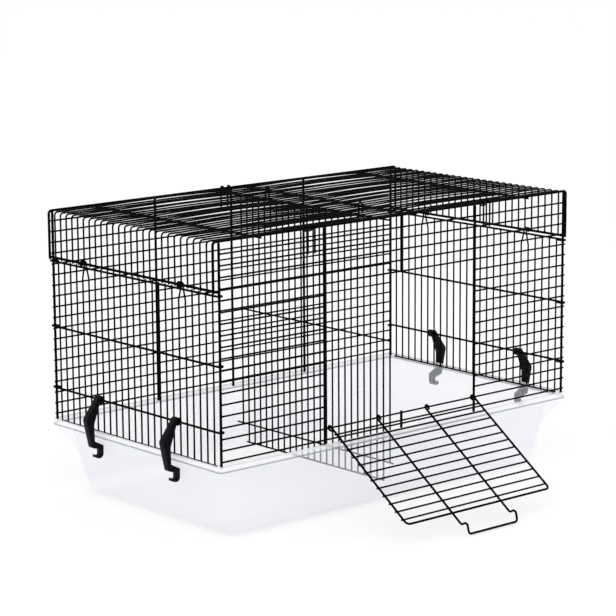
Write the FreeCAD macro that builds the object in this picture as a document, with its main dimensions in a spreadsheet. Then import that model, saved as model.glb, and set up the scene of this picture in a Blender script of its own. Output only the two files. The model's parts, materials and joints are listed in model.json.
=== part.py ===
"""Rodent cage: a folding wire top with a drop-down door and a removable divider, clipped onto a clear tray.

Frame: millimetres, +Z up, +X along the cage, the door side towards -Y.
The origin is the middle of the tray's flat base.
"""
import FreeCAD, Part
import math
import os
import Sketcher

Vector = FreeCAD.Vector

# Driving dimensions: alias, value, meaning.
SIZES = [
    ("box_length", 420, "corner post to corner post along the cage"),
    ("box_width", 240, "front posts to back posts"),
    ("roof_height", 194, "tray lip to the roof's edge wires"),
    ("bar_d", 1.6, "thin wire"),
    ("post_d", 2.4, "posts, roof edge wires and apron rails"),
    ("rail_d", 2.0, "rails of the end panels"),
    ("door_wire_d", 2.0, "lengthwise wires of the door"),
    ("weld_gap", 0.05, "between wires that are welded, and under their feet"),
    ("hinge_gap", 0.15, "between a panel's hinge loop and the wire it hangs on"),
    ("pivot_gap", 0.05, "running fit of the door's eyes on their bar"),
    ("seat_gap", 0.3, "between a loose piece and its seat"),
    ("tray_height", 71, "floor to the top of the lip"),
    ("tray_wall", 2, "tray wall and base"),
    ("lip_wall", 1.6, "upstand of the rim"),
    ("lip_depth", 2.4, "top of the lip down to the ledge that carries the wires"),
    ("lip_room", 2.2, "post line to the lip's inner face"),
    ("ledge_width", 4.5, "post line to the ledge's inner edge"),
    ("rim_height", 6.5, "upright band of the rim"),
    ("rim_corner_r", 4.8, "corners of the rim in plan"),
    ("knee_depth", 26, "top of the lip down to where the flare under the rim ends"),
    ("knee_inset_end", 7, "wall inside the post line at the knee, ends"),
    ("knee_inset_side", 5.5, "wall inside the post line at the knee, front and back"),
    ("knee_corner_r", 17, "corners at the knee in plan"),
    ("floor_inset_end", 18, "wall inside the post line at the floor, ends"),
    ("floor_inset_side", 10, "wall inside the post line at the floor, front and back"),
    ("floor_corner_r", 20, "corners at the floor in plan"),
    ("floor_fillet_r", 8, "round between wall and base, outside"),
    ("lip_round_r", 0.6, "rounded edges of the lip"),
    ("rim_round_r", 1.2, "rounded lower edge of the rim's band"),
    ("row_first", 3.8, "tray lip to the lowest lengthwise bar"),
    ("row_pitch", 10, "between the lengthwise bars of front and back"),
    ("row_overhang", 0.3, "bars past the middle of the outer posts"),
    ("post_headroom", 1.4, "roof edge wires down to the tops of the posts"),
    ("door_post_x", 92.3, "middle of the cage to each door post"),
    ("end_pitch", 9.3, "between the upright bars of the ends"),
    ("clip_rail_height", 29.5, "tray lip to the rail that carries the clips"),
    ("middle_rail_height", 87, "tray lip to the middle rail of the ends"),
    ("top_rail_height", 147.5, "tray lip to the top rail of the ends"),
    ("apron_rise", 3.7, "top rail up to the rail along the roof's turned-down ends"),
    ("apron_overhang", 2.5, "apron rail past the roof's edge wires"),
    ("hook_return", 4, "turned-back end of an end rail, from the post's middle"),
    ("roof_bend_r", 3, "bend of the roof wires at the ends"),
    ("cross_middle_x", 19, "middle of the cage to each cross wire beside the divider"),
    ("cross_outer_x", 163, "middle of the cage to each outer cross wire"),
    ("hairpin_width", 8, "between the legs of a hairpin hinge"),
    ("hairpin_drop", 22, "roof edge wire to the feet of a hairpin hinge"),
    ("hairpin_tuck", 2.6, "roof edge wire to the hairpin's closed end, inside"),
    ("hairpin_bend_r", 1.4, "corners of the hairpin's closed end"),
    ("front_hairpin_x", 107, "middle of the cage to each front hairpin"),
    ("back_hairpin_x", -8, "place of the hairpin at the back"),
    ("loop_width", 3.2, "between the legs of an end hinge loop at its top"),
    ("loop_shoulder", 10, "top rail down to where the loop's legs start to close in"),
    ("loop_tuck", 1.6, "apron rail to the loop's closed end, outside"),
    ("loop_bend_r", 2, "gentle bends of the loop's legs"),
    ("door_length", 120, "hinge bar to the door's free end"),
    ("door_wire_x", 88.2, "middle of the door to its outer wires"),
    ("door_corner_r", 4, "corners of the door's free end"),
    ("door_bar_first", 8.5, "hinge bar to the first cross bar of the door"),
    ("door_bar_pitch", 9.5, "between the cross bars of the door"),
    ("door_bar_overhang", 0.3, "cross bars past the middle of the outer wires"),
    ("handle_x", 30, "middle of the door to the handle wires"),
    ("handle_length", 143, "hinge bar to the handle's cross end"),
    ("kink_length", 11.5, "start of the handle's kink to the handle's cross end"),
    ("kink_slope", 8, "top of the kink to the handle's cross end"),
    ("kink_rise", 7, "height of the kink, towards the inside of the cage"),
    ("handle_bend_r", 2.8, "bends of the handle wire"),
    ("eye_return", 3, "straight end of a door eye"),
    ("divider_pitch", 8.75, "between the upright bars of the divider"),
    ("divider_side_room", 14, "least room between the corner posts' middle and the divider's outer bars"),
    ("divider_headroom", 6, "roof edge wires down to the divider's top rail"),
    ("divider_middle_height", 77.5, "tray lip to the divider's middle rail"),
    ("divider_lower_depth", 36, "tray lip down to the rail that sits between the tray's walls"),
    ("divider_foot_depth", 54, "tray lip down to the divider's lowest rail"),
    ("divider_overhang", 1.2, "bars and rails of the divider past each other"),
    ("divider_hook_r", 2.6, "bend of the divider's hooks"),
    ("divider_hook_rise", 6, "roof wire to the top of a hook's bend"),
    ("divider_hook_foot", 4, "top rail down to the foot of a hook"),
    ("divider_hook_tail", 3.4, "roof wire down to the free end of a hook"),
    ("clip_width", 7, "clip along the rail"),
    ("clip_barrel_r", 3.7, "barrel of a clip"),
    ("clip_gap", 0.1, "between the rail and a clip's bore"),
    ("elbow_out", 16.4, "rail out to the corner of a clip's lever"),
    ("elbow_drop", 16.5, "rail down to that corner"),
    ("elbow_thick", 8, "lever's thickness at the corner"),
    ("elbow_slant", 5, "outer corner down to the inner corner of the lever"),
    ("elbow_r", 4.5, "rounding of the lever's corner"),
    ("heel_out", 10.5, "rail out to the lever's heel"),
    ("heel_drop", 1, "tip of the toe down to the heel"),
    ("heel_r", 2.2, "rounding of the heel"),
    ("toe_root_out", 8, "rail out to where the toe leaves the lever"),
    ("toe_depth", 12.5, "tray lip down to the tip of a clip's toe"),
    ("toe_slant", 5, "tip of the toe up to where it leaves the lever"),
    ("toe_thick", 3.4, "thickness of the toe"),
    ("toe_gap", 0.4, "between a clip's toe and the flare under the rim"),
    ("tail_thick", 2.8, "thickness of the finger tail"),
    ("tail_drop", 13, "tip of the toe down to the bottom of the tail"),
    ("tail_out", 6.2, "rail out to the end of the tail"),
    ("tail_lift", 2.2, "rise of the tail's end"),
    ("tail_r", 4.2, "outer bend of the tail"),
]
ROW_COUNT = 19
HINGE_ROW_INDEX = 1
LINTEL_ROW_INDEX = 14
END_BAR_COUNT_EACH_SIDE = 12
LOOP_BAR_INDEX = 7
ROOF_WIRE_COUNT = 28
LOOP_PITCH_SHARE = 5.5
HOOK_ROOF_WIRE_INDEX = 6
DOOR_BAR_COUNT = 12
EYE_CLOSING_DEGREES = 28

# Where the clips sit, as shares of the pitch of the upright bars.
FRONT_CLIPS_SHARE = -6.5
LEFT_BACK_CLIP_SHARE = 5.5
RIGHT_BACK_CLIP_SHARE = 6.5
# Where a clip's lever leaves its barrel, as shares of the barrel's radius.
ROOT_OUTER_X_SHARE = 0.92
ROOT_OUTER_Z_SHARE = 0.22
ROOT_INNER_X_SHARE = 0.43
ROOT_INNER_Z_SHARE = -0.81
# Two places count as one when they are this share of a piece's size apart.
SAME_PLACE_SHARE = 1e-6

doc = FreeCAD.newDocument("rodent_cage")
sheet = doc.addObject("Spreadsheet::Sheet", "cage")
for line, (alias, value, meaning) in enumerate(SIZES, 1):
    sheet.set(f"A{line}", alias)
    sheet.set(f"B{line}", str(value))
    sheet.setAlias(f"B{line}", alias)
    sheet.set(f"C{line}", meaning)
doc.recompute()
NODES = []

# Places that follow from the driving dimensions, as expressions.
HALF_LENGTH = "(cage.box_length / 2)"
HALF_WIDTH = "(cage.box_width / 2)"
FOOT_Z = "(cage.tray_height - cage.lip_depth + cage.weld_gap)"
ROOF_Z = "(cage.tray_height + cage.roof_height)"
POST_TOP_Z = f"({ROOF_Z} - cage.post_headroom)"
ROW_Y = f"({HALF_WIDTH} + cage.post_d / 2 + cage.weld_gap + cage.bar_d / 2)"
LEG_Y = f"({ROW_Y} - cage.bar_d - cage.weld_gap)"
LOOP_R = "(cage.post_d / 2 + cage.hinge_gap + cage.bar_d / 2)"
ROOF_EDGE_Y = f"({LEG_Y} - {LOOP_R})"
ROOF_PITCH = f"(2 * {ROOF_EDGE_Y} / {ROOF_WIRE_COUNT - 1})"
ROOF_WIRE_Z = f"({ROOF_Z} - (cage.post_d - cage.bar_d) / 2)"
CROSS_Z = f"({ROOF_Z} - cage.post_d / 2 - cage.weld_gap - cage.bar_d / 2)"
RAIL_X = f"({HALF_LENGTH} + cage.post_d / 2 + cage.weld_gap + cage.rail_d / 2)"
END_BAR_X = f"({RAIL_X} - cage.rail_d / 2 - cage.weld_gap - cage.bar_d / 2)"
FOOT_RAIL_X = f"({END_BAR_X} - cage.bar_d - cage.weld_gap)"
APRON_X = f"({END_BAR_X} + {LOOP_R})"
APRON_Z = "(cage.tray_height + cage.top_rail_height + cage.apron_rise)"
ROOF_WIRE_X = f"({APRON_X} + cage.post_d / 2 + cage.weld_gap + cage.bar_d / 2)"
ROOF_EDGE_X = f"({APRON_X} + cage.post_d + cage.weld_gap)"
HINGE_Z = f"(cage.tray_height + cage.row_first + {HINGE_ROW_INDEX} * cage.row_pitch)"
EYE_R = "(cage.bar_d / 2 + cage.pivot_gap + cage.door_wire_d / 2)"
DOOR_REACH_Z = f"({HINGE_Z} - cage.door_wire_d / 2 - cage.seat_gap)"
DOOR_SLOPE = (f"(asin({DOOR_REACH_Z} / hypot(cage.handle_length; {EYE_R}))"
              f" - atan({EYE_R} / cage.handle_length))")
DIVIDER_RAIL_X = "(cage.bar_d + cage.weld_gap)"
SIDE_SLOPE = ("((cage.floor_inset_side - cage.knee_inset_side)"
              " / (cage.tray_height - cage.knee_depth))")
LOWER_RAIL_INSET = (f"(cage.knee_inset_side + {SIDE_SLOPE}"
                    " * (cage.divider_lower_depth + cage.bar_d / 2 - cage.knee_depth)"
                    " + cage.tray_wall)")
RIM_OUT = "(cage.lip_room + cage.lip_wall)"
FLARE_SLOPE = f"(({RIM_OUT} + cage.knee_inset_end) / (cage.knee_depth - cage.rim_height))"
TOE_TIP_X = (f"({HALF_LENGTH} + {RIM_OUT} - (cage.toe_depth - cage.rim_height) * {FLARE_SLOPE}"
             f" + cage.toe_gap - {RAIL_X})")
TOE_TOP_Z = "(-(cage.clip_rail_height + cage.toe_depth))"


def number(expression):
    """The present value of an expression."""
    value = sheet.evalExpression(expression)
    return float(getattr(value, "Value", value))


def point(x, y, z):
    """A place given by three expressions."""
    return Vector(number(x), number(y), number(z))


def bind(thing, **expressions):
    """Ties properties to expressions; a double underscore stands for a dot."""
    for name, expression in expressions.items():
        thing.setExpression(name.replace("__", "."), expression)


def place(thing, x, y, z):
    """Ties an object's place to three expressions."""
    bind(thing, Placement__Base__x=x, Placement__Base__y=y, Placement__Base__z=z)


def node(thing, label):
    """Names a finished sub-part and keeps it for writing."""
    thing.Label = label
    NODES.append(thing)
    return thing


TURNS = {
    "X": FreeCAD.Rotation(Vector(0, 1, 0), 90),
    "Y": FreeCAD.Rotation(Vector(1, 0, 0), -90),
    "Z": FreeCAD.Rotation(),
}


def straight_wire(diameter, along, length, x, y, z):
    """A straight wire that starts at a place and runs along an axis."""
    wire = doc.addObject("Part::Cylinder", "straight_wire")
    wire.Placement = FreeCAD.Placement(Vector(), TURNS[along])
    bind(wire, Radius=f"cage.{diameter} / 2", Height=length)
    place(wire, x, y, z)
    return wire


def group(label, wires):
    """One sub-part of separate wires."""
    compound = doc.addObject("Part::Compound", label)
    compound.Links = wires
    return node(compound, label)


def bent_line(points, bends):
    """Straight runs joined by tangent arcs, with one radius for each inner point."""
    edges = []
    start = points[0]
    for before, corner, after, bend in zip(points, points[1:], points[2:], bends):
        coming = (corner - before).normalize()
        going = (after - corner).normalize()
        half_turn = coming.getAngle(going) / 2
        setback = bend * math.tan(half_turn)
        first = corner - coming * setback
        last = corner + going * setback
        inward = (going - coming).normalize()
        middle = corner + inward * (bend / math.cos(half_turn) - bend)
        if not start.isEqual(first, SAME_PLACE_SHARE * bend):
            edges.append(Part.LineSegment(start, first).toShape())
        edges.append(Part.Arc(first, middle, last).toShape())
        start = last
    edges.append(Part.LineSegment(start, points[-1]).toShape())
    return Part.Wire(edges)


def swept_wire(diameter, line):
    """A round wire along a bent line."""
    spine = doc.addObject("Part::Feature", "wire_line")
    spine.Shape = line
    section = doc.addObject("Part::Circle", "wire_section")
    bind(section, Radius=f"cage.{diameter} / 2")
    first = line.OrderedEdges[0]
    start = line.OrderedVertexes[0].Point
    heading = first.tangentAt(first.FirstParameter)
    section.Placement = FreeCAD.Placement(start, FreeCAD.Rotation(Vector(0, 0, 1), heading))
    wire = doc.addObject("Part::Sweep", "bent_wire")
    wire.Sections = [section]
    wire.Spine = (spine, [f"Edge{index}" for index in range(1, len(line.Edges) + 1)])
    wire.Solid = True
    return wire


def bent_wire(diameter, points, bends):
    """A round wire bent at its inner points."""
    return swept_wire(diameter, bent_line(points, bends))


def origin_part(body, role):
    """One of a body's own planes or axes."""
    return next(part for part in body.Origin.OriginFeatures if part.Role == role)


def new_sketch(body, plane, name, **offset):
    """A sketch on one of the body's planes, moved by expressions."""
    sketch = body.newObject("Sketcher::SketchObject", name)
    sketch.AttachmentSupport = [(origin_part(body, plane), "")]
    sketch.MapMode = "FlatFace"
    for axis, expression in offset.items():
        sketch.setExpression(f"AttachmentOffset.Base.{axis}", expression)
    return sketch


def dimension(sketch, expression, kind, *places):
    """A driving dimension of a sketch."""
    index = sketch.addConstraint(Sketcher.Constraint(kind, *places, number(expression)))
    sketch.setExpression(f"Constraints[{index}]", expression)


def circle(sketch, radius):
    """A circle about the sketch's origin."""
    index = sketch.addGeometry(Part.Circle(Vector(), Vector(0, 0, 1), number(radius)), False)
    sketch.addConstraint(Sketcher.Constraint("Coincident", index, 3, -1, 1))
    dimension(sketch, radius, "Radius", index)


def rounded_rectangle(sketch, length, width, radius):
    """A rectangle about the sketch's origin with four equal round corners."""
    half_x = number(length) / 2
    half_y = number(width) / 2
    r = number(radius)
    x = half_x - r
    y = half_y - r
    up = Vector(0, 0, 1)
    quarter = math.pi / 2
    sides = [
        (Vector(-x, -half_y, 0), Vector(x, -half_y, 0)),
        (Vector(half_x, -y, 0), Vector(half_x, y, 0)),
        (Vector(x, half_y, 0), Vector(-x, half_y, 0)),
        (Vector(-half_x, y, 0), Vector(-half_x, -y, 0)),
    ]
    centres = [Vector(x, -y, 0), Vector(x, y, 0), Vector(-x, y, 0), Vector(-x, -y, 0)]
    for start, end in sides:
        sketch.addGeometry(Part.LineSegment(start, end), False)
    for turn, centre in enumerate(centres):
        corner = Part.Circle(centre, up, r)
        sketch.addGeometry(Part.ArcOfCircle(corner, (turn - 1) * quarter, turn * quarter), False)
    for side in range(4):
        arc = 4 + side
        sketch.addConstraint(Sketcher.Constraint("Tangent", side, 2, arc, 1))
        sketch.addConstraint(Sketcher.Constraint("Tangent", arc, 2, (side + 1) % 4, 1))
    for side, kind in enumerate(("Horizontal", "Vertical", "Horizontal", "Vertical")):
        sketch.addConstraint(Sketcher.Constraint(kind, side))
    for arc in (5, 6, 7):
        sketch.addConstraint(Sketcher.Constraint("Equal", 4, arc))
    sketch.addConstraint(Sketcher.Constraint("Symmetric", 7, 3, 5, 3, -1, 1))
    dimension(sketch, length, "DistanceX", 3, 1, 1, 1)
    dimension(sketch, width, "DistanceY", 0, 1, 2, 1)
    dimension(sketch, radius, "Radius", 4)


def outline(sketch, corners):
    """A closed outline of straight sides; each corner is a pair of expressions."""
    places = [Vector(number(x), number(y), 0) for x, y in corners]
    for start, end in zip(places, places[1:] + places[:1]):
        sketch.addGeometry(Part.LineSegment(start, end), False)
    for index, (x, y) in enumerate(corners):
        following = (index + 1) % len(corners)
        sketch.addConstraint(Sketcher.Constraint("Coincident", index, 2, following, 1))
        dimension(sketch, x, "DistanceX", -1, 1, index, 1)
        dimension(sketch, y, "DistanceY", -1, 1, index, 1)


def bar_row(label, diameter, plane, length, axis, count, run):
    """A body of equal straight wires, spaced evenly along one of its axes."""
    body = doc.addObject("PartDesign::Body", label)
    sketch = new_sketch(body, plane, "wire_section")
    circle(sketch, f"cage.{diameter} / 2")
    wire = body.newObject("PartDesign::Pad", "wire")
    wire.Profile = sketch
    bind(wire, Length=length)
    doc.recompute()
    row = body.newObject("PartDesign::LinearPattern", "row")
    row.Originals = [wire]
    row.Direction = (origin_part(body, axis), [""])
    row.Occurrences = count
    bind(row, Length=run)
    body.Tip = row
    return node(body, label)


def tray():
    """Clear tray: flat base, drawn-in walls that flare to a rim, and a ledge with a lip for the wires."""
    body = doc.addObject("PartDesign::Body", "tray")

    def section(name, z, inset_end, inset_side, radius):
        sketch = new_sketch(body, "XY_Plane", name, z=z)
        rounded_rectangle(sketch, f"cage.box_length - 2 * ({inset_end})",
                          f"cage.box_width - 2 * ({inset_side})", radius)
        return sketch

    def loft(kind, name, sections):
        feature = body.newObject(kind, name)
        feature.Profile = sections[0]
        feature.Sections = sections[1:]
        feature.Ruled = True
        doc.recompute()
        return feature

    knee_z = "cage.tray_height - cage.knee_depth"
    rim_z = "cage.tray_height - cage.rim_height"
    ledge_z = "cage.tray_height - cage.lip_depth"
    floor = section("base_outline", "0", "cage.floor_inset_end", "cage.floor_inset_side",
                    "cage.floor_corner_r")
    knee = section("knee_outline", knee_z, "cage.knee_inset_end", "cage.knee_inset_side",
                   "cage.knee_corner_r")
    rim = section("rim_outline", rim_z, f"-{RIM_OUT}", f"-{RIM_OUT}", "cage.rim_corner_r")
    loft("PartDesign::AdditiveLoft", "walls", [floor, knee, rim])
    band = body.newObject("PartDesign::Pad", "rim_band")
    band.Profile = rim
    bind(band, Length="cage.rim_height")
    doc.recompute()

    wall = "cage.tray_wall"
    inner_r = f" - {wall}"
    basin_floor = section("basin_floor", wall, f"cage.floor_inset_end + {wall}",
                          f"cage.floor_inset_side + {wall}", f"cage.floor_corner_r{inner_r}")
    basin_knee = section("basin_knee", knee_z, f"cage.knee_inset_end + {wall}",
                         f"cage.knee_inset_side + {wall}", f"cage.knee_corner_r{inner_r}")
    basin_top = section("basin_top", ledge_z, "cage.ledge_width", "cage.ledge_width",
                        f"cage.knee_corner_r{inner_r}")
    loft("PartDesign::SubtractiveLoft", "basin", [basin_floor, basin_knee, basin_top])
    recess = section("lip_recess", ledge_z, "-cage.lip_room", "-cage.lip_room",
                     "cage.rim_corner_r - cage.lip_wall")
    cut = body.newObject("PartDesign::Pocket", "ledge")
    cut.Profile = recess
    cut.Reversed = True
    bind(cut, Length="cage.lip_depth")
    doc.recompute()

    tip = cut
    for name, z, radius in (("base_round", "0", "cage.floor_fillet_r"),
                            ("basin_round", wall, f"cage.floor_fillet_r - {wall}"),
                            ("lip_round", "cage.tray_height", "cage.lip_round_r"),
                            ("rim_round", rim_z, "cage.rim_round_r")):
        rounded = body.newObject("PartDesign::Fillet", name)
        rounded.Base = (tip, level_edges(tip.Shape, number(z)))
        bind(rounded, Radius=radius)
        doc.recompute()
        tip = rounded
    body.Tip = tip
    node(body, "tray")


def level_edges(shape, z):
    """The edges of a shape that lie flat at one height."""
    close = SAME_PLACE_SHARE * shape.BoundBox.DiagonalLength
    return [f"Edge{index}" for index, edge in enumerate(shape.Edges, 1)
            if abs(edge.BoundBox.ZMin - z) <= close and abs(edge.BoundBox.ZMax - z) <= close]


def row_z(row):
    """Height of a lengthwise bar, counted from the lowest."""
    return f"cage.tray_height + cage.row_first + {row} * cage.row_pitch"


def front_panel():
    """Front: full bars above and below the door, split bars beside it, posts, and two hairpin hinges."""
    y = f"-{ROW_Y}"
    full = "cage.box_length + 2 * cage.row_overhang"
    full_x = f"-{HALF_LENGTH} - cage.row_overhang"
    part = f"{HALF_LENGTH} - cage.door_post_x + 2 * cage.row_overhang"
    right_x = "cage.door_post_x - cage.row_overhang"
    bars = []
    for row in range(ROW_COUNT):
        if HINGE_ROW_INDEX < row < LINTEL_ROW_INDEX:
            bars.append(straight_wire("bar_d", "X", part, full_x, y, row_z(row)))
            bars.append(straight_wire("bar_d", "X", part, right_x, y, row_z(row)))
            continue
        bars.append(straight_wire("bar_d", "X", full, full_x, y, row_z(row)))
    group("front_bars", bars)

    height = f"{POST_TOP_Z} - {FOOT_Z}"
    post_y = f"-{HALF_WIDTH}"
    posts = [straight_wire("post_d", "Z", height, x, post_y, FOOT_Z)
             for x in (f"-{HALF_LENGTH}", "-cage.door_post_x", "cage.door_post_x", HALF_LENGTH)]
    lintel_z = f"{row_z(LINTEL_ROW_INDEX)} - cage.row_overhang"
    posts.append(straight_wire("post_d", "Z", f"{POST_TOP_Z} - ({lintel_z})", "0", post_y, lintel_z))
    stub = f"{HINGE_Z} + cage.bar_d / 2 - {FOOT_Z}"
    posts.append(straight_wire("post_d", "Z", stub, "0", post_y, FOOT_Z))
    group("front_posts", posts)
    group("front_hinge_hairpins",
          [hairpin(f"{side} * cage.front_hairpin_x", -1) for side in (-1, 1)])


def back_panel():
    """Back: unbroken bars on five posts, hung from the roof by one hairpin hinge."""
    rows = bar_row("back_bars", "bar_d", "YZ_Plane", "cage.box_length + 2 * cage.row_overhang",
                   "Z_Axis", ROW_COUNT, f"{ROW_COUNT - 1} * cage.row_pitch")
    place(rows, f"-{HALF_LENGTH} - cage.row_overhang", ROW_Y, row_z(0))
    height = f"{POST_TOP_Z} - {FOOT_Z}"
    places = (f"-{HALF_LENGTH}", "-cage.door_post_x", "0", "cage.door_post_x", HALF_LENGTH)
    group("back_posts", [straight_wire("post_d", "Z", height, x, HALF_WIDTH, FOOT_Z) for x in places])
    group("back_hinge_hairpin", [hairpin("cage.back_hairpin_x", 1)])


def hairpin(x, side):
    """A hairpin: legs welded inside a panel's bars, closed end curled over the roof's edge wire."""
    leg_y = f"{side} * {LEG_Y}"
    inner_y = f"{side} * ({LEG_Y} - 2 * {LOOP_R})"
    top_z = f"{ROOF_Z} + {LOOP_R}"
    foot_z = f"{ROOF_Z} - cage.hairpin_drop"
    tuck_z = f"{ROOF_Z} - cage.hairpin_tuck"
    left = f"{x} - cage.hairpin_width / 2"
    right = f"{x} + cage.hairpin_width / 2"
    points = [point(left, leg_y, foot_z), point(left, leg_y, top_z), point(left, inner_y, top_z),
              point(left, inner_y, tuck_z), point(right, inner_y, tuck_z), point(right, inner_y, top_z),
              point(right, leg_y, top_z), point(right, leg_y, foot_z)]
    curl = number(LOOP_R)
    corner = number("cage.hairpin_bend_r")
    return bent_wire("bar_d", points, [curl, curl, corner, corner, curl, curl])


def end_panel(name, side):
    """An end: upright bars on rails hooked round the posts, hung by two loops from the apron rail."""
    bar_x = f"{side} * {END_BAR_X}"
    top_z = "cage.tray_height + cage.top_rail_height + cage.rail_d / 2"
    height = f"{top_z} - {FOOT_Z}"
    straight = [index for index in range(-END_BAR_COUNT_EACH_SIDE, END_BAR_COUNT_EACH_SIDE + 1)
                if abs(index) not in (LOOP_BAR_INDEX, LOOP_BAR_INDEX + 1)]
    group(f"{name}_end_bars",
          [straight_wire("bar_d", "Z", height, bar_x, f"{index} * cage.end_pitch", FOOT_Z)
           for index in straight])
    group(f"{name}_hinge_loops", [hinge_loop(side, half) for half in (-1, 1)])

    inner_x = f"{side} * (2 * {HALF_LENGTH} - {RAIL_X})"
    outer_x = f"{side} * {RAIL_X}"
    hook_y = f"({HALF_WIDTH} + {RAIL_X} - {HALF_LENGTH})"
    tip_y = f"({HALF_WIDTH} - cage.hook_return)"
    curl = number(f"{RAIL_X} - {HALF_LENGTH}")
    rails = []
    for rail in ("clip_rail_height", "middle_rail_height", "top_rail_height"):
        z = f"cage.tray_height + cage.{rail}"
        points = [point(inner_x, f"-{tip_y}", z), point(inner_x, f"-{hook_y}", z),
                  point(outer_x, f"-{hook_y}", z), point(outer_x, hook_y, z),
                  point(inner_x, hook_y, z), point(inner_x, tip_y, z)]
        rails.append(bent_wire("rail_d", points, [curl] * 4))
    group(f"{name}_end_rails", rails)

    run = f"(2 * {END_BAR_COUNT_EACH_SIDE} * cage.end_pitch + cage.bar_d)"
    group(f"{name}_foot_rail",
          [straight_wire("bar_d", "Y", run, f"{side} * {FOOT_RAIL_X}", f"-{run} / 2",
                         f"{FOOT_Z} + cage.bar_d / 2")])
    rail = f"(2 * ({ROOF_EDGE_Y} + cage.apron_overhang))"
    group(f"{name}_apron_rail",
          [straight_wire("post_d", "Y", rail, f"{side} * {APRON_X}", f"-{rail} / 2", APRON_Z)])


def hinge_loop(side, half):
    """Two neighbouring upright bars in one wire, drawn together and curled over the apron rail."""
    middle_y = f"({ROOF_EDGE_Y} - {LOOP_PITCH_SHARE} * {ROOF_PITCH})"
    shoulder_z = "cage.tray_height + cage.top_rail_height - cage.loop_shoulder"
    waist_z = "cage.tray_height + cage.top_rail_height + cage.rail_d / 2"
    bar_x = f"{side} * {END_BAR_X}"
    outer_x = f"{side} * ({END_BAR_X} + 2 * {LOOP_R})"
    top_z = f"{APRON_Z} + {LOOP_R}"
    tuck_z = f"{APRON_Z} - cage.loop_tuck"
    legs = []
    for index, edge in ((LOOP_BAR_INDEX, -1), (LOOP_BAR_INDEX + 1, 1)):
        bar_y = f"{half} * {index} * cage.end_pitch"
        top_y = f"{half} * ({middle_y} + {edge} * cage.loop_width / 2)"
        legs.append([point(bar_x, bar_y, FOOT_Z), point(bar_x, bar_y, shoulder_z),
                     point(bar_x, top_y, waist_z), point(bar_x, top_y, top_z),
                     point(outer_x, top_y, top_z), point(outer_x, top_y, tuck_z)])
    gentle = number("cage.loop_bend_r")
    curl = number(LOOP_R)
    closed = number("cage.loop_width / 2")
    bends = [gentle, gentle, curl, curl]
    return bent_wire("bar_d", legs[0] + legs[1][::-1], bends + [closed, closed] + bends[::-1])


def roof():
    """Roof: lengthwise wires turned down at both ends, heavier edge wires, and cross wires underneath."""
    body = doc.addObject("PartDesign::Body", "roof_wires")
    drop = f"({ROOF_WIRE_Z} - {APRON_Z} + cage.post_d / 2)"
    span = f"(2 * {ROOF_WIRE_X})"
    path = new_sketch(body, "XZ_Plane", "wire_line")
    half = number(ROOF_WIRE_X)
    fall = number(drop)
    bend = number("cage.roof_bend_r")
    up = Vector(0, 0, 1)
    quarter = math.pi / 2
    path.addGeometry(Part.LineSegment(Vector(-half, -fall, 0), Vector(-half, -bend, 0)), False)
    left = Part.Circle(Vector(bend - half, -bend, 0), up, bend)
    path.addGeometry(Part.ArcOfCircle(left, quarter, 2 * quarter), False)
    path.addGeometry(Part.LineSegment(Vector(bend - half, 0, 0), Vector(half - bend, 0, 0)), False)
    right = Part.Circle(Vector(half - bend, -bend, 0), up, bend)
    path.addGeometry(Part.ArcOfCircle(right, 0, quarter), False)
    path.addGeometry(Part.LineSegment(Vector(half, -bend, 0), Vector(half, -fall, 0)), False)
    for first, end, second, start in ((0, 2, 1, 2), (1, 1, 2, 1), (2, 2, 3, 2), (3, 1, 4, 1)):
        path.addConstraint(Sketcher.Constraint("Tangent", first, end, second, start))
    path.addConstraint(Sketcher.Constraint("Vertical", 0))
    path.addConstraint(Sketcher.Constraint("Horizontal", 2))
    path.addConstraint(Sketcher.Constraint("Symmetric", 0, 1, 4, 2, -2))
    path.addConstraint(Sketcher.Constraint("Equal", 1, 3))
    path.addConstraint(Sketcher.Constraint("PointOnObject", 2, 1, -1))
    dimension(path, span, "DistanceX", 0, 1, 4, 2)
    dimension(path, drop, "DistanceY", 0, 1, -1, 1)
    dimension(path, "cage.roof_bend_r", "Radius", 1)
    section = new_sketch(body, "XY_Plane", "wire_section", x=f"-{ROOF_WIRE_X}", z=f"-{drop}")
    circle(section, "cage.bar_d / 2")
    doc.recompute()
    wire = body.newObject("PartDesign::AdditivePipe", "wire")
    wire.Profile = section
    wire.Spine = path
    doc.recompute()
    row = body.newObject("PartDesign::LinearPattern", "row")
    row.Originals = [wire]
    row.Direction = (origin_part(body, "Y_Axis"), [""])
    row.Occurrences = ROOF_WIRE_COUNT - 2
    bind(row, Length=f"{ROOF_WIRE_COUNT - 3} * {ROOF_PITCH}")
    body.Tip = row
    place(body, "0", f"-{ROOF_EDGE_Y} + {ROOF_PITCH}", ROOF_WIRE_Z)
    node(body, "roof_wires")

    edges = []
    foot_z = f"{APRON_Z} - cage.post_d / 2"
    for side in (-1, 1):
        y = f"{side} * {ROOF_EDGE_Y}"
        points = [point(f"-{ROOF_EDGE_X}", y, foot_z), point(f"-{ROOF_EDGE_X}", y, ROOF_Z),
                  point(ROOF_EDGE_X, y, ROOF_Z), point(ROOF_EDGE_X, y, foot_z)]
        edges.append(bent_wire("post_d", points, [bend] * 2))
    group("roof_edge_wires", edges)

    run = f"(2 * {ROOF_EDGE_Y} + cage.post_d)"
    places = ("-cage.cross_outer_x", "-cage.cross_middle_x", "cage.cross_middle_x", "cage.cross_outer_x")
    group("roof_cross_wires", [straight_wire("bar_d", "Y", run, x, f"-{run} / 2", CROSS_Z) for x in places])


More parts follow.
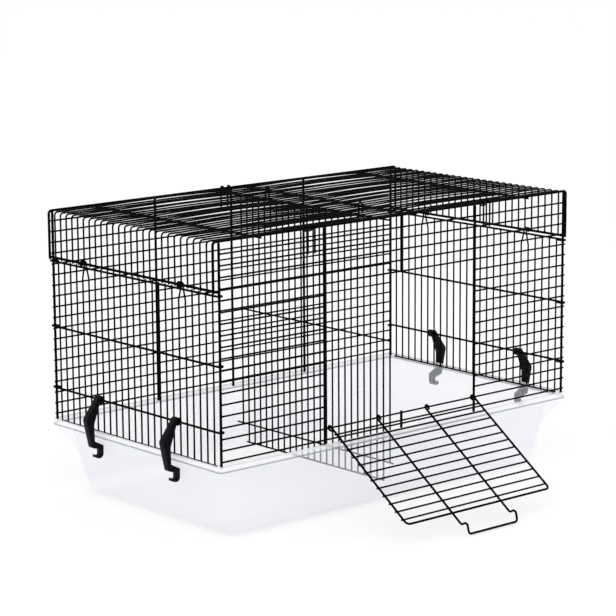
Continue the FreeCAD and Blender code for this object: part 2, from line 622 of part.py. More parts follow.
def door():
    """Drop-down door: frame above and handle wire below the cross bars, with eyes round the hinge bar."""
    slope = number(DOOR_SLOPE)
    lay = FreeCAD.Placement(point("0", f"-{ROW_Y}", HINGE_Z), FreeCAD.Rotation(Vector(1, 0, 0), slope))
    eye = number(EYE_R)
    sides = (-1, 1)

    def on_door(x, reach, rise):
        return lay.multVec(Vector(x, -reach, rise))

    def eyed_wire(x, level, corners, bends):
        """From one eye along the door at a level, round the far corners and back to the other eye."""
        ends = {side: eye_edges(side * x, level, on_door) for side in sides}
        run = [on_door(-x, 0, level)] + corners + [on_door(x, 0, level)]
        middle = bent_line(run, bends)
        return swept_wire("door_wire_d", Part.Wire(ends[-1] + middle.OrderedEdges + ends[1][::-1]))

    width = number("cage.door_wire_x")
    length = number("cage.door_length")
    corner = number("cage.door_corner_r")
    far_corners = [on_door(side * width, length, eye) for side in sides]
    group("door_frame", [eyed_wire(width, eye, far_corners, [corner, corner])])

    x = number("cage.handle_x")
    bend = number("cage.handle_bend_r")
    kink = [(number("cage.handle_length - cage.kink_length"), 0),
            (number("cage.handle_length - cage.kink_slope"), number("cage.kink_rise")),
            (number("cage.handle_length"), 0)]
    way_out = [on_door(-x, reach, rise - eye) for reach, rise in kink]
    way_back = [on_door(x, reach, rise - eye) for reach, rise in kink[::-1]]
    group("door_handle", [eyed_wire(x, -eye, way_out + way_back, [bend] * 2 * len(kink))])

    span = "(2 * (cage.door_wire_x + cage.door_bar_overhang))"
    bars = bar_row("door_bars", "bar_d", "YZ_Plane", span, "Y_Axis", DOOR_BAR_COUNT,
                   f"{DOOR_BAR_COUNT - 1} * cage.door_bar_pitch")
    last = f"(cage.door_bar_first + {DOOR_BAR_COUNT - 1} * cage.door_bar_pitch)"
    bars.Placement = FreeCAD.Placement(Vector(), FreeCAD.Rotation(Vector(1, 0, 0), slope))
    bind(bars, Placement__Rotation__Angle=DOOR_SLOPE)
    place(bars, f"-{span} / 2", f"-{ROW_Y} - {last} * cos({DOOR_SLOPE})",
          f"{HINGE_Z} - {last} * sin({DOOR_SLOPE})")


def eye_edges(x, level, on_door):
    """An eye round the hinge bar, from its free end to the start of the long wire at that level."""
    closing = math.radians(EYE_CLOSING_DEGREES)
    tip = number("cage.eye_return")
    radius = abs(level)
    side = radius / level

    def at(reach, rise):
        return on_door(x, reach, -side * rise)

    leave = at(radius * math.sin(closing), radius * math.cos(closing))
    free = at(radius * math.sin(closing) + tip * math.cos(closing),
              radius * math.cos(closing) - tip * math.sin(closing))
    top = at(-radius * math.sin(closing), radius * math.cos(closing))
    back = at(-radius, 0)
    far = at(-radius * math.cos(closing), -radius * math.sin(closing))
    under = at(0, -radius)
    return [Part.LineSegment(free, leave).toShape(), Part.Arc(leave, top, back).toShape(),
            Part.Arc(back, far, under).toShape()]


def hook_wire(bar_spacing):
    """The first roof wire, from the usual one inwards, whose hook leg is clear of the divider's bars."""
    def blocked(index):
        leg_y = number(f"{ROOF_EDGE_Y} - {index} * {ROOF_PITCH} - cage.divider_hook_r")
        return abs(leg_y - round(leg_y / bar_spacing) * bar_spacing) < number("cage.bar_d + cage.weld_gap")

    return min(range(HOOK_ROOF_WIRE_INDEX, ROOF_WIRE_COUNT // 2), key=blocked)


def divider():
    """Divider: upright bars on rails, the lower rail between the tray's walls, and two roof hooks."""
    bar_spacing = number("cage.divider_pitch")
    outer = math.floor(number(f"{HALF_WIDTH} - cage.divider_side_room") / bar_spacing)
    top_z = f"({ROOF_Z} - cage.divider_headroom)"
    lower_z = "(cage.tray_height - cage.divider_lower_depth)"
    foot_z = "(cage.tray_height - cage.divider_foot_depth)"
    bars = []
    for index in range(-outer, outer + 1):
        start = f"({lower_z if abs(index) == outer else foot_z} - cage.divider_overhang)"
        bars.append(straight_wire("bar_d", "Z", f"{top_z} + cage.divider_overhang - {start}", "0",
                                  f"{index} * cage.divider_pitch", start))
    group("divider_bars", bars)

    half = f"({outer} * cage.divider_pitch + cage.divider_overhang)"
    foot_half = f"({outer - 1} * cage.divider_pitch + cage.divider_overhang)"
    lower_half = f"({HALF_WIDTH} - {LOWER_RAIL_INSET} - cage.seat_gap)"
    middle_z = "(cage.tray_height + cage.divider_middle_height)"
    rails = [straight_wire("bar_d", "Y", f"2 * {reach}", f"-{DIVIDER_RAIL_X}", f"-{reach}", z)
             for reach, z in ((half, top_z), (half, middle_z), (lower_half, lower_z), (foot_half, foot_z))]
    group("divider_rails", rails)

    bend = number("cage.divider_hook_r")
    hooks = []
    for side in (-1, 1):
        wire_y = f"({ROOF_EDGE_Y} - {hook_wire(bar_spacing)} * {ROOF_PITCH})"
        near = f"{side} * ({wire_y} - cage.divider_hook_r)"
        far = f"{side} * ({wire_y} + cage.divider_hook_r)"
        peak_z = f"{ROOF_WIRE_Z} + cage.divider_hook_rise"
        points = [point("0", near, f"{top_z} - cage.divider_hook_foot"), point("0", near, peak_z),
                  point("0", far, peak_z), point("0", far, f"{ROOF_WIRE_Z} - cage.divider_hook_tail")]
        hooks.append(bent_wire("bar_d", points, [bend, bend]))
    group("divider_hooks", hooks)


def clip(label, side, share):
    """A clip: barrel round the rail, lever past the rim, toe under the rim's flare and a finger tail."""
    body = doc.addObject("PartDesign::Body", label)
    barrel = new_sketch(body, "XZ_Plane", "barrel_outline")
    circle(barrel, "cage.clip_barrel_r")
    circle(barrel, "cage.rail_d / 2 + cage.clip_gap")
    ring = body.newObject("PartDesign::Pad", "barrel")
    ring.Profile = barrel
    ring.Midplane = True
    bind(ring, Length="cage.clip_width")
    doc.recompute()

    root = "cage.clip_barrel_r"
    heel_z = f"{TOE_TOP_Z} - cage.heel_drop"
    tail_x = f"{TOE_TIP_X} + cage.tail_thick"
    tail_z = f"{TOE_TOP_Z} - cage.tail_drop"
    elbow = ("cage.elbow_out", "-cage.elbow_drop")
    throat = ("cage.elbow_out - cage.elbow_thick", "-(cage.elbow_drop + cage.elbow_slant)")
    heel = ("cage.heel_out", heel_z)
    tail = (TOE_TIP_X, tail_z)
    tail_inside = (tail_x, f"{tail_z} + cage.tail_thick")
    profile = new_sketch(body, "XZ_Plane", "lever_outline")
    outline(profile, [
        (f"{root} * {ROOT_OUTER_X_SHARE}", f"{root} * {ROOT_OUTER_Z_SHARE}"),
        elbow,
        heel,
        (tail_x, f"{TOE_TOP_Z} - cage.toe_thick"),
        tail_inside,
        ("cage.tail_out", f"{tail_z} + cage.tail_thick + cage.tail_lift"),
        ("cage.tail_out", f"{tail_z} + cage.tail_lift"),
        tail,
        (TOE_TIP_X, TOE_TOP_Z),
        ("cage.toe_root_out", f"{TOE_TOP_Z} + cage.toe_slant"),
        throat,
        (f"{root} * {ROOT_INNER_X_SHARE}", f"{root} * {ROOT_INNER_Z_SHARE}"),
    ])
    lever = body.newObject("PartDesign::Pad", "lever")
    lever.Profile = profile
    lever.Midplane = True
    bind(lever, Length="cage.clip_width")
    doc.recompute()
    for corners, radius in (((elbow, throat), "cage.elbow_r"), ((heel,), "cage.heel_r"),
                            ((tail,), "cage.tail_r"), ((tail_inside,), "cage.tail_r - cage.tail_thick")):
        rounded = body.newObject("PartDesign::Fillet", "rounded_corner")
        rounded.Base = (lever, crosswise_edges(lever.Shape, corners))
        bind(rounded, Radius=radius)
        doc.recompute()
        lever = rounded
    body.Tip = lever
    body.Placement = FreeCAD.Placement(Vector(), FreeCAD.Rotation(Vector(0, 0, 1), 90 - 90 * side))
    place(body, f"{side} * {RAIL_X}", f"{share} * cage.end_pitch",
          "cage.tray_height + cage.clip_rail_height")
    node(body, label)


def crosswise_edges(shape, corners):
    """The edges of a shape that run along Y through corners of its outline."""
    names = []
    for corner in corners:
        place_x, place_z = (number(expression) for expression in corner)
        close = SAME_PLACE_SHARE * shape.BoundBox.DiagonalLength
        for index, edge in enumerate(shape.Edges, 1):
            box = edge.BoundBox
            off = max(abs(value - target) for value, target in (
                (box.XMin, place_x), (box.XMax, place_x), (box.ZMin, place_z), (box.ZMax, place_z)))
            if off <= close:
                names.append(f"Edge{index}")
    return names


def write_parts():
    """Checks every object and writes one file for each sub-part."""
    doc.recompute()
    for thing in doc.Objects:
        if "Invalid" in thing.State or "Error" in thing.State:
            raise RuntimeError(f"{thing.Label} did not build")
    for thing in NODES:
        if thing.Shape.isNull() or not thing.Shape.isValid():
            raise RuntimeError(f"{thing.Label} has no valid shape")
    os.makedirs("parts", exist_ok=True)
    for thing in NODES:
        thing.Shape.exportStep(f"parts/{thing.Label}.step")
        print(thing.Label, len(thing.Shape.Solids), round(thing.Shape.Volume, 1))


tray()
front_panel()
back_panel()
end_panel("left", -1)
end_panel("right", 1)
roof()
door()
divider()
clip("left_front_clip", -1, FRONT_CLIPS_SHARE)
clip("left_back_clip", -1, LEFT_BACK_CLIP_SHARE)
clip("right_front_clip", 1, FRONT_CLIPS_SHARE)
clip("right_back_clip", 1, RIGHT_BACK_CLIP_SHARE)
write_parts()
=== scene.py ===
"""Rodent cage: the finishes and fine detail of a wire cage on a clear tray, laid over its fixed frame."""
import json
import math
import random

import bmesh
import bpy
from bpy.props import FloatProperty, FloatVectorProperty, PointerProperty
from mathutils import Matrix, Vector


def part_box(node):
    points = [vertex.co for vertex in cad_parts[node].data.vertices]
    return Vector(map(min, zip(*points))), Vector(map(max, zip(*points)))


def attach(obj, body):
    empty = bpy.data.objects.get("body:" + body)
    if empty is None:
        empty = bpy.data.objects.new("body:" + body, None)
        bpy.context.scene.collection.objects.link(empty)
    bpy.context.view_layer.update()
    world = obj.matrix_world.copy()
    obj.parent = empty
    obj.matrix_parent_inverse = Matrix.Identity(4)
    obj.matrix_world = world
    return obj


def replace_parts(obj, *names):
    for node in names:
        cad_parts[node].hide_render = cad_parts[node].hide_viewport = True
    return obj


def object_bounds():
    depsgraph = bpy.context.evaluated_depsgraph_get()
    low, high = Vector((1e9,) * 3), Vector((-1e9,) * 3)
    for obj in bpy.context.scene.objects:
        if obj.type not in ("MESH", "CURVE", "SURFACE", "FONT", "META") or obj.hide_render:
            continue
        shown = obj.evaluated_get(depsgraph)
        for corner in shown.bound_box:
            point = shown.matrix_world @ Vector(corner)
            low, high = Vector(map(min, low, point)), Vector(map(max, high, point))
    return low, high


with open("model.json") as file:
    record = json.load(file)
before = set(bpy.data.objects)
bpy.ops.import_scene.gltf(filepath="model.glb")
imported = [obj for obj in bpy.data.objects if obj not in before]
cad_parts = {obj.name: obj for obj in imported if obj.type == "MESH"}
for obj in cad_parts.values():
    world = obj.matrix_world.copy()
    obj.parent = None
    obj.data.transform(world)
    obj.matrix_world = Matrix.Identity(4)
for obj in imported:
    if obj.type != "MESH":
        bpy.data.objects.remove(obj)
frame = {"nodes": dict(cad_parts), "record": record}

bl_info = {
    "name": "Rodent cage",
    "version": (1, 0, 0),
    "blender": (4, 5, 0),
    "location": "View3D > Sidebar > Cage",
    "description": "Coated wires with weld beads, a clear tray, moulded clips and a studio for a wire cage",
    "category": "Object",
}

CAD_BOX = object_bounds()
BODIES = frame["record"]["behaviour"]["bodies"]
CLIPS = [body for body in BODIES if body.endswith("_clip")]
AXES = (0, 1, 2)
X, Y, Z = AXES
# Points closer than this, in metres, are one point.
SAME_PLACE = 1e-6
# Wires that pass within this distance, in metres, are welded.
WELD_REACH = 0.0001
# Weld beads and dipped ends are round lumps with few faces.
LUMP_SEGMENTS = 8
LUMP_RINGS = 5
# A roof wire's bow from weld to weld is drawn in this many steps.
BOW_STEPS = 5
# The bows are uneven in a fixed way, and each is at least this share of the most that its wire can have.
BOW_SEED = 3
LEAST_BOW_SHARE = 0.8
# The bow leaves out this share of an end span, where the wires turn down.
TURN_SHARE = 0.25
# Most of a noise texture lies between these two, and its colours blend between the stops.
NOISE_LOW = 0.3
NOISE_HIGH = 0.7
BLEND_STOPS = (0.35, 0.65)
# Fineness of the noise in slow ripples, in grain and clouds, and in worn patches.
RIPPLE_DETAIL = 1
GRAIN_DETAIL = 2
PATCH_DETAIL = 3
# Angles on a clip: faces flatter than the first are one, edges sharper than the second are rounded and
# those sharper than the third show as edges.
FLAT_ANGLE = math.radians(1)
CORNER_ANGLE = math.radians(60)
CREASE_ANGLE = math.radians(35)
ROUND_SEGMENTS = 3
# Width of the camera's sensor, in millimetres.
SENSOR_WIDTH = 36


class WireFinish(bpy.types.PropertyGroup):
    """Black coat of the wires, and the lumps that it leaves on welds and cut ends."""
    colour: FloatVectorProperty(
        name="Coat colour", description="Black of the coat", subtype="COLOR",
        size=3, min=0, max=1, default=(0.0006, 0.0006, 0.0008))
    thin_colour: FloatVectorProperty(
        name="Thin coat colour", description="Greyer black where the coat is thin", subtype="COLOR",
        size=3, min=0, max=1, default=(0.002, 0.002, 0.0024))
    roughness: FloatProperty(
        name="Roughness", description="Middle roughness of the coat", min=0, max=1, default=0.42)
    roughness_spread: FloatProperty(
        name="Roughness spread", description="How far the roughness strays from its middle", min=0, max=1,
        default=0.08)
    patch: FloatProperty(
        name="Patch", description="Size of the patches of thin coat", unit="LENGTH", default=0.01)
    gloss: FloatProperty(
        name="Gloss", description="Strength of the coat's reflection", min=0, max=1, default=0.012)
    grain: FloatProperty(
        name="Grain", description="Size of the coat's fine ripples", unit="LENGTH", default=0.0005)
    grain_depth: FloatProperty(
        name="Grain depth", description="Depth of the ripples", unit="LENGTH", default=0.00003)
    door_wire: FloatProperty(
        name="Door wire", description="Thickness of the door's lengthwise wires", unit="LENGTH",
        default=0.002)
    bead_width: FloatProperty(
        name="Weld bead width", description="Across a weld bead", unit="LENGTH", default=0.0019)
    bead_height: FloatProperty(
        name="Weld bead height", description="From wire to wire through a weld bead", unit="LENGTH",
        default=0.0008)
    tip_share: FloatProperty(
        name="Dipped tip", description="Height of a dipped wire end, as a share of the wire's radius",
        min=0, max=1, default=0.5)
    roof_bow: FloatProperty(
        name="Roof bow", description="Most that a thin roof wire stands up between two welds",
        unit="LENGTH", default=0.0019)


class TrayFinish(bpy.types.PropertyGroup):
    """Milky clear plastic of the tray, whiter in its thick rim, with painted shade along the rim's edges.
    """
    colour: FloatVectorProperty(
        name="Milk colour", description="Colour of the milky part of the plastic", subtype="COLOR",
        size=3, min=0, max=1, default=(0.89, 0.905, 0.985))
    cloud_colour: FloatVectorProperty(
        name="Cloud colour", description="Colour of the faint clouds in it", subtype="COLOR",
        size=3, min=0, max=1, default=(0.875, 0.895, 0.985))
    rim_colour: FloatVectorProperty(
        name="Rim colour", description="Whiter colour of the rim's band", subtype="COLOR",
        size=3, min=0, max=1, default=(0.985, 0.985, 1.0))
    # Painted shade: the dark line that refraction in the thick rim gives at its lower edge and lip.
    edge_shade_colour: FloatVectorProperty(
        name="Edge colour", description="Grey of the rim's lower edge, where the plastic is thickest",
        subtype="COLOR", size=3, min=0, max=1, default=(0.13, 0.15, 0.18))
    cover: FloatProperty(
        name="Cover", description="Share of what lies behind that one surface hides", min=0, max=1,
        default=0.18)
    rim_cover: FloatProperty(
        name="Rim cover", description="The same in the rim's band", min=0, max=1, default=0.45)
    # How much of what lies behind the painted shade line hides.
    edge_shade_cover: FloatProperty(
        name="Edge cover", description="The same along the rim's lower edge", min=0, max=1, default=0.9)
    rim_height: FloatProperty(
        name="Rim height", description="Upright band of the rim", unit="LENGTH", default=0.0065)
    rim_depth: FloatProperty(
        name="Rim depth", description="Outer part of the tray that counts as rim", unit="LENGTH",
        default=0.0019)
    # Half width of the painted shade line.
    edge_width: FloatProperty(
        name="Edge width", description="Half the width of the grey edge", unit="LENGTH", default=0.0014)
    # Strength of the fainter painted shade line along the rim's lip.
    lip_shade_share: FloatProperty(
        name="Lip line", description="Strength of the line along the rim's lip, as a share of the edge's",
        min=0, max=1, default=0.3)
    foot_height: FloatProperty(
        name="Foot height", description="Drawn-out foot of the tray, where the plastic is thin",
        unit="LENGTH", default=0.013)
    foot_share: FloatProperty(
        name="Foot cover", description="Cover at the foot, as a share of the walls'", min=0, max=1,
        default=0.3)
    roughness: FloatProperty(
        name="Haze", description="Middle roughness of the surfaces", min=0, max=1, default=0.2)
    roughness_spread: FloatProperty(
        name="Haze spread", description="How far the roughness strays from its middle", min=0, max=1,
        default=0.03)
    cloud: FloatProperty(
        name="Cloud", description="Size of the clouds", unit="LENGTH", default=0.05)
    ripple: FloatProperty(
        name="Ripple", description="Size of the moulded surface's slow ripples", unit="LENGTH",
        default=0.03)
    ripple_depth: FloatProperty(
        name="Ripple depth", description="Depth of those ripples", unit="LENGTH", default=0.0001)


class ClipFinish(bpy.types.PropertyGroup):
    """Black plastic of the clips."""
    colour: FloatVectorProperty(
        name="Clip colour", description="Black of the clips", subtype="COLOR",
        size=3, min=0, max=1, default=(0.0015, 0.0015, 0.0025))
    scuffed_colour: FloatVectorProperty(
        name="Scuffed colour", description="Paler black where fingers have rubbed", subtype="COLOR",
        size=3, min=0, max=1, default=(0.005, 0.0045, 0.008))
    roughness: FloatProperty(
        name="Roughness", description="Middle roughness of the clips", min=0, max=1, default=0.37)
    roughness_spread: FloatProperty(
        name="Roughness spread", description="How far the roughness strays from its middle", min=0, max=1,
        default=0.07)
    gloss: FloatProperty(
        name="Gloss", description="Strength of the reflection", min=0, max=1, default=0.06)
    grain: FloatProperty(
        name="Grain", description="Size of the moulded grain", unit="LENGTH", default=0.0006)
    grain_depth: FloatProperty(
        name="Grain depth", description="Depth of the moulded grain", unit="LENGTH", default=0.00002)
    rub: FloatProperty(
        name="Rubbed patch", description="Size of the rubbed patches", unit="LENGTH", default=0.0048)
    edge_round: FloatProperty(
        name="Edge round", description="Rounded edges of a clip", unit="LENGTH", default=0.0006)


class Studio(bpy.types.PropertyGroup):
    """Floor, light and camera."""
    azimuth: FloatProperty(
        name="Azimuth", description="Camera's bearing, from straight in front", subtype="ANGLE",
        default=math.radians(-40.9951))
    elevation: FloatProperty(
        name="Elevation", description="Camera's height above the horizon", subtype="ANGLE",
        default=math.radians(11.052))
    roll: FloatProperty(
        name="Roll", description="Tilt of the camera", subtype="ANGLE", default=math.radians(-0.3711))
    place: FloatVectorProperty(
        name="Place", description="Where the camera stands", subtype="TRANSLATION", unit="LENGTH",
        size=3, default=(-1.4968, -1.7143, 0.608))
    lens: FloatProperty(
        name="Lens", description="Focal length on a 36 mm sensor, in millimetres", default=144.86)
    floor_colour: FloatVectorProperty(
        name="Floor colour", description="Pale floor", subtype="COLOR",
        size=3, min=0, max=1, default=(1.0, 1.0, 1.0))
    floor_span: FloatProperty(
        name="Floor span", description="Side of the floor", unit="LENGTH", default=12)
    floor_drop: FloatProperty(
        name="Floor drop", description="Floor's distance below the tray", unit="LENGTH", default=0.0004)
    shade_share: FloatProperty(
        name="Shadow", description="Share of the floor's own shading that shows", min=0, max=1, default=0.5)
    sky: FloatProperty(
        name="Sky", description="Even light from all round", min=0, default=1)
    key_power: FloatProperty(
        name="Main light", description="Large soft light from the left", subtype="POWER", default=10)
    fill_power: FloatProperty(
        name="Second light", description="Large soft light from the right", subtype="POWER", default=4)
    key_place: FloatVectorProperty(
        name="Main light's place", description="Where the main light hangs", subtype="TRANSLATION",
        unit="LENGTH", size=3, default=(-1.3, -1.0, 1.9))
    fill_place: FloatVectorProperty(
        name="Second light's place", description="Where the second light hangs", subtype="TRANSLATION",
        unit="LENGTH", size=3, default=(1.6, -1.2, 1.3))
    lamp_size: FloatProperty(
        name="Light size", description="Across each light", unit="LENGTH", default=1.4)


def new_material(name):
    """An empty node material, with its tree and its surface shader."""
    material = bpy.data.materials.new(name)
    material.use_nodes = True
    return material, material.node_tree, material.node_tree.nodes["Principled BSDF"]


def noise(tree, size, detail):
    """Noise of a given size, in metres, in the piece's own space."""
    place = tree.nodes.new("ShaderNodeTexCoord")
    texture = tree.nodes.new("ShaderNodeTexNoise")
    texture.inputs["Scale"].default_value = 1 / size
    texture.inputs["Detail"].default_value = detail
    tree.links.new(place.outputs["Object"], texture.inputs["Vector"])
    return texture.outputs["Fac"]


def between(tree, amount, low, high, start=NOISE_LOW, end=NOISE_HIGH):
    """A number that goes from low to high while an amount goes from start to end."""
    node = tree.nodes.new("ShaderNodeMapRange")
    for socket, value in (("From Min", start), ("From Max", end), ("To Min", low), ("To Max", high)):
        node.inputs[socket].default_value = value
    tree.links.new(amount, node.inputs["Value"])
    return node.outputs["Result"]


def strayed(tree, amount, finish):
    """A finish's roughness, which strays from its middle as an amount of noise does."""
    return between(tree, amount, finish.roughness - finish.roughness_spread,
                   finish.roughness + finish.roughness_spread)


def reckon(tree, operation, *terms):
    """One sum of numbers and outputs."""
    node = tree.nodes.new("ShaderNodeMath")
    node.operation = operation
    for socket, term in zip(node.inputs, terms):
        if isinstance(term, bpy.types.NodeSocket):
            tree.links.new(term, socket)
        else:
            socket.default_value = term
    return node.outputs["Value"]


def mix_in(tree, amount, first, second):
    """A colour output with a plain colour mixed in by an amount."""
    node = tree.nodes.new("ShaderNodeMix")
    node.data_type = "RGBA"
    factor, start, end = (next(socket for socket in node.inputs if socket.identifier == name)
                          for name in ("Factor_Float", "A_Color", "B_Color"))
    tree.links.new(amount, factor)
    tree.links.new(first, start)
    end.default_value = (*second, 1)
    return next(socket for socket in node.outputs if socket.identifier == "Result_Color")


def blend_colours(tree, amount, first, second):
    """A colour that follows an amount from one colour to another."""
    node = tree.nodes.new("ShaderNodeValToRGB")
    for stop, place, colour in zip(node.color_ramp.elements, BLEND_STOPS, (first, second)):
        stop.position = place
        stop.color = (*colour, 1)
    tree.links.new(amount, node.inputs["Fac"])
    return node.outputs["Color"]


def raise_surface(tree, shader, amount, depth):
    """Bumps a shader's surface by an amount times a depth in metres."""
    node = tree.nodes.new("ShaderNodeBump")
    node.inputs["Distance"].default_value = depth
    tree.links.new(amount, node.inputs["Height"])
    tree.links.new(node.outputs["Normal"], shader.inputs["Normal"])


def wire_coat(finish):
    """Black dipped coat: near-black with greyer thin patches and a fine ripple."""
    material, tree, shader = new_material("wire_coat")
    patches = noise(tree, finish.patch, PATCH_DETAIL)
    tree.links.new(blend_colours(tree, patches, finish.colour, finish.thin_colour),
                   shader.inputs["Base Color"])
    tree.links.new(strayed(tree, patches, finish), shader.inputs["Roughness"])
    shader.inputs["Specular IOR Level"].default_value = finish.gloss
    raise_surface(tree, shader, noise(tree, finish.grain, GRAIN_DETAIL), finish.grain_depth)
    return material


def soft_line(tree, rise, height, width, strength):
    """A line at a height, of a given strength there and fading out a width above and below."""
    distance = reckon(tree, "ABSOLUTE", reckon(tree, "SUBTRACT", rise, height))
    return between(tree, distance, strength, 0, 0, width)


def tray_shares(tree, finish):
    """How far a place belongs to the rim's band, to its painted shade lines, and to the walls above the
    foot.
    """
    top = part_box("tray")[1]
    place = tree.nodes.new("ShaderNodeTexCoord")
    parts = tree.nodes.new("ShaderNodeSeparateXYZ")
    tree.links.new(place.outputs["Object"], parts.inputs["Vector"])
    out = [reckon(tree, "SUBTRACT", reckon(tree, "ABSOLUTE", parts.outputs[name]), limit - finish.rim_depth)
           for name, limit in (("X", top.x), ("Y", top.y))]
    outside = reckon(tree, "GREATER_THAN", reckon(tree, "MAXIMUM", *out), 0)
    rise = reckon(tree, "SUBTRACT", parts.outputs["Z"], top.z - finish.rim_height)
    band = between(tree, rise, 0, 1, finish.edge_width, 2 * finish.edge_width)
    # Painted shade: a dark line at the rim's lower edge and a fainter one at its lip.
    lower = soft_line(tree, rise, finish.edge_width, finish.edge_width, 1)
    lip = soft_line(tree, rise, finish.rim_height, finish.edge_width, finish.lip_shade_share)
    edge = reckon(tree, "MAXIMUM", lower, lip)
    wall = between(tree, parts.outputs["Z"], finish.foot_share, 1, 0, finish.foot_height)
    return reckon(tree, "MULTIPLY", band, outside), reckon(tree, "MULTIPLY", edge, outside), wall


def tray_plastic(finish):
    """Milky clear plastic: faint clouds, slow ripples, a whiter rim and painted shade lines along its
    edges.
    """
    material, tree, shader = new_material("tray_plastic")
    clouds = noise(tree, finish.cloud, GRAIN_DETAIL)
    band, edge, wall = tray_shares(tree, finish)
    colour = blend_colours(tree, clouds, finish.colour, finish.cloud_colour)
    colour = mix_in(tree, band, colour, finish.rim_colour)
    # Painted shade: the grey lines along the rim's edges.
    colour = mix_in(tree, edge, colour, finish.edge_shade_colour)
    tree.links.new(colour, shader.inputs["Base Color"])
    tree.links.new(strayed(tree, clouds, finish), shader.inputs["Roughness"])
    cover = reckon(tree, "MULTIPLY", wall, finish.cover)
    cover = reckon(tree, "MULTIPLY_ADD", band, finish.rim_cover - finish.cover, cover)
    # The painted shade lines hide almost all that lies behind them.
    cover = reckon(tree, "MULTIPLY_ADD", edge, finish.edge_shade_cover - finish.cover, cover)
    tree.links.new(cover, shader.inputs["Alpha"])
    raise_surface(tree, shader, noise(tree, finish.ripple, RIPPLE_DETAIL), finish.ripple_depth)
    return material


def clip_plastic(finish):
    """Black moulded plastic with a violet cast, rubbed in patches."""
    material, tree, shader = new_material("clip_plastic")
    rubbed = noise(tree, finish.rub, PATCH_DETAIL)
    tree.links.new(blend_colours(tree, rubbed, finish.colour, finish.scuffed_colour),
                   shader.inputs["Base Color"])
    tree.links.new(strayed(tree, rubbed, finish), shader.inputs["Roughness"])
    shader.inputs["Specular IOR Level"].default_value = finish.gloss
    raise_surface(tree, shader, noise(tree, finish.grain, GRAIN_DETAIL), finish.grain_depth)
    return material


def coat_of(context):
    """The wires' coat, made once."""
    return bpy.data.materials.get("wire_coat") or wire_coat(context.scene.cage_wires)


def dress(node, material):
    """Gives a node of the frame its finish."""
    slots = frame["nodes"][node].data.materials
    slots.clear()
    slots.append(material)


def new_piece(shape, name, body, material):
    """Makes a finished piece of a bmesh, and lets it ride on a body."""
    mesh = bpy.data.meshes.new(name)
    shape.to_mesh(mesh)
    shape.free()
    mesh.materials.append(material)
    piece = bpy.data.objects.new(name, mesh)
    bpy.context.scene.collection.objects.link(piece)
    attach(piece, body)
    return piece


def merged_copy(node):
    """A bmesh of a node with its loose triangles joined."""
    shape = bmesh.new()
    shape.from_mesh(frame["nodes"][node].data)
    bmesh.ops.remove_doubles(shape, verts=shape.verts, dist=SAME_PLACE)
    return shape


def solids_of(*nodes):
    """The lowest and highest corner of each separate solid of some nodes."""
    boxes = []
    for node in nodes:
        shape = merged_copy(node)
        for seed in shape.verts:
            if seed.tag:
                continue
            seed.tag = True
            found = [seed]
            for vert in found:
                for edge in vert.link_edges:
                    other = edge.other_vert(vert)
                    if not other.tag:
                        other.tag = True
                        found.append(other)
            low = Vector(min(vert.co[axis] for vert in found) for axis in AXES)
            high = Vector(max(vert.co[axis] for vert in found) for axis in AXES)
            boxes.append((low, high))
        shape.free()
    return boxes


def middle(box):
    """The middle of a box."""
    return (box[0] + box[1]) / 2


def along(box):
    """The axis that a straight wire runs along."""
    size = box[1] - box[0]
    return max(AXES, key=lambda axis: size[axis])


def radius_of(box):
    """The radius of a straight wire."""
    return min(box[1] - box[0]) / 2


def round_lump():
    """A mesh of a lump of radius one, in rings from pole to pole and in the same order in every run."""
    shape = bmesh.new()
    turns = [math.tau * step / LUMP_SEGMENTS for step in range(LUMP_SEGMENTS)]
    slopes = [math.pi * step / LUMP_RINGS for step in range(1, LUMP_RINGS)]
    rings = [[shape.verts.new((math.cos(turn) * math.sin(slope), math.sin(turn) * math.sin(slope),
                               math.cos(slope))) for turn in turns] for slope in slopes]
    top, bottom = (shape.verts.new((0, 0, height)) for height in (1, -1))
    for side in range(LUMP_SEGMENTS):
        pairs = [(ring[side - 1], ring[side]) for ring in rings]
        shape.faces.new((top, *pairs[0]))
        for (left, right), (low_left, low_right) in zip(pairs, pairs[1:]):
            shape.faces.new((left, low_left, low_right, right))
        shape.faces.new((bottom, *reversed(pairs[-1])))
    mesh = bpy.data.meshes.new("lump")
    shape.to_mesh(mesh)
    shape.free()
    return mesh


class Lumps:
    """Weld beads and dipped ends of one panel, gathered in one bmesh."""

    def __init__(self, finish):
        self.shape = bmesh.new()
        self.finish = finish
        self.unit = round_lump()

    def lump(self, place, radii, turn=None):
        """A round lump at a place, with a radius along each axis."""
        copy = self.unit.copy()
        copy.transform(Matrix.Translation(place) @ (turn or Matrix()) @ Matrix.Diagonal((*radii, 1)))
        self.shape.from_mesh(copy)
        bpy.data.meshes.remove(copy)

    def bead(self, place, axis, turn=None):
        """A weld bead, flat along the axis that parts the two wires."""
        radii = [self.finish.bead_width / 2 for _ in AXES]
        radii[axis] = self.finish.bead_height / 2
        self.lump(place, radii, turn)

    def tip(self, place, axis, radius, turn=None):
        """A dipped end of a wire that runs along an axis."""
        radii = [radius for _ in AXES]
        radii[axis] = radius * self.finish.tip_share
        self.lump(place, radii, turn)

    def weld(self, wires, others):
        """Beads wherever straight wires pass each other."""
        for wire in wires:
            for other in others:
                low = Vector(map(max, wire[0], other[0]))
                high = Vector(map(min, wire[1], other[1]))
                if min(high - low) < -WELD_REACH:
                    continue
                parted = (set(AXES) - {along(wire), along(other)}).pop()
                self.bead((low + high) / 2, parted)

    def dip(self, wires, ends=(0, 1)):
        """Dipped tips on the low ends (0) and high ends (1) of straight wires."""
        for wire in wires:
            axis = along(wire)
            for end in ends:
                place = middle(wire)
                place[axis] = wire[end][axis]
                self.tip(place, axis, radius_of(wire))

    def finished(self, name, body, context):
        """One smooth piece of all the lumps."""
        bpy.data.meshes.remove(self.unit)
        for face in self.shape.faces:
            face.smooth = True
        return new_piece(self.shape, name, body, coat_of(context))


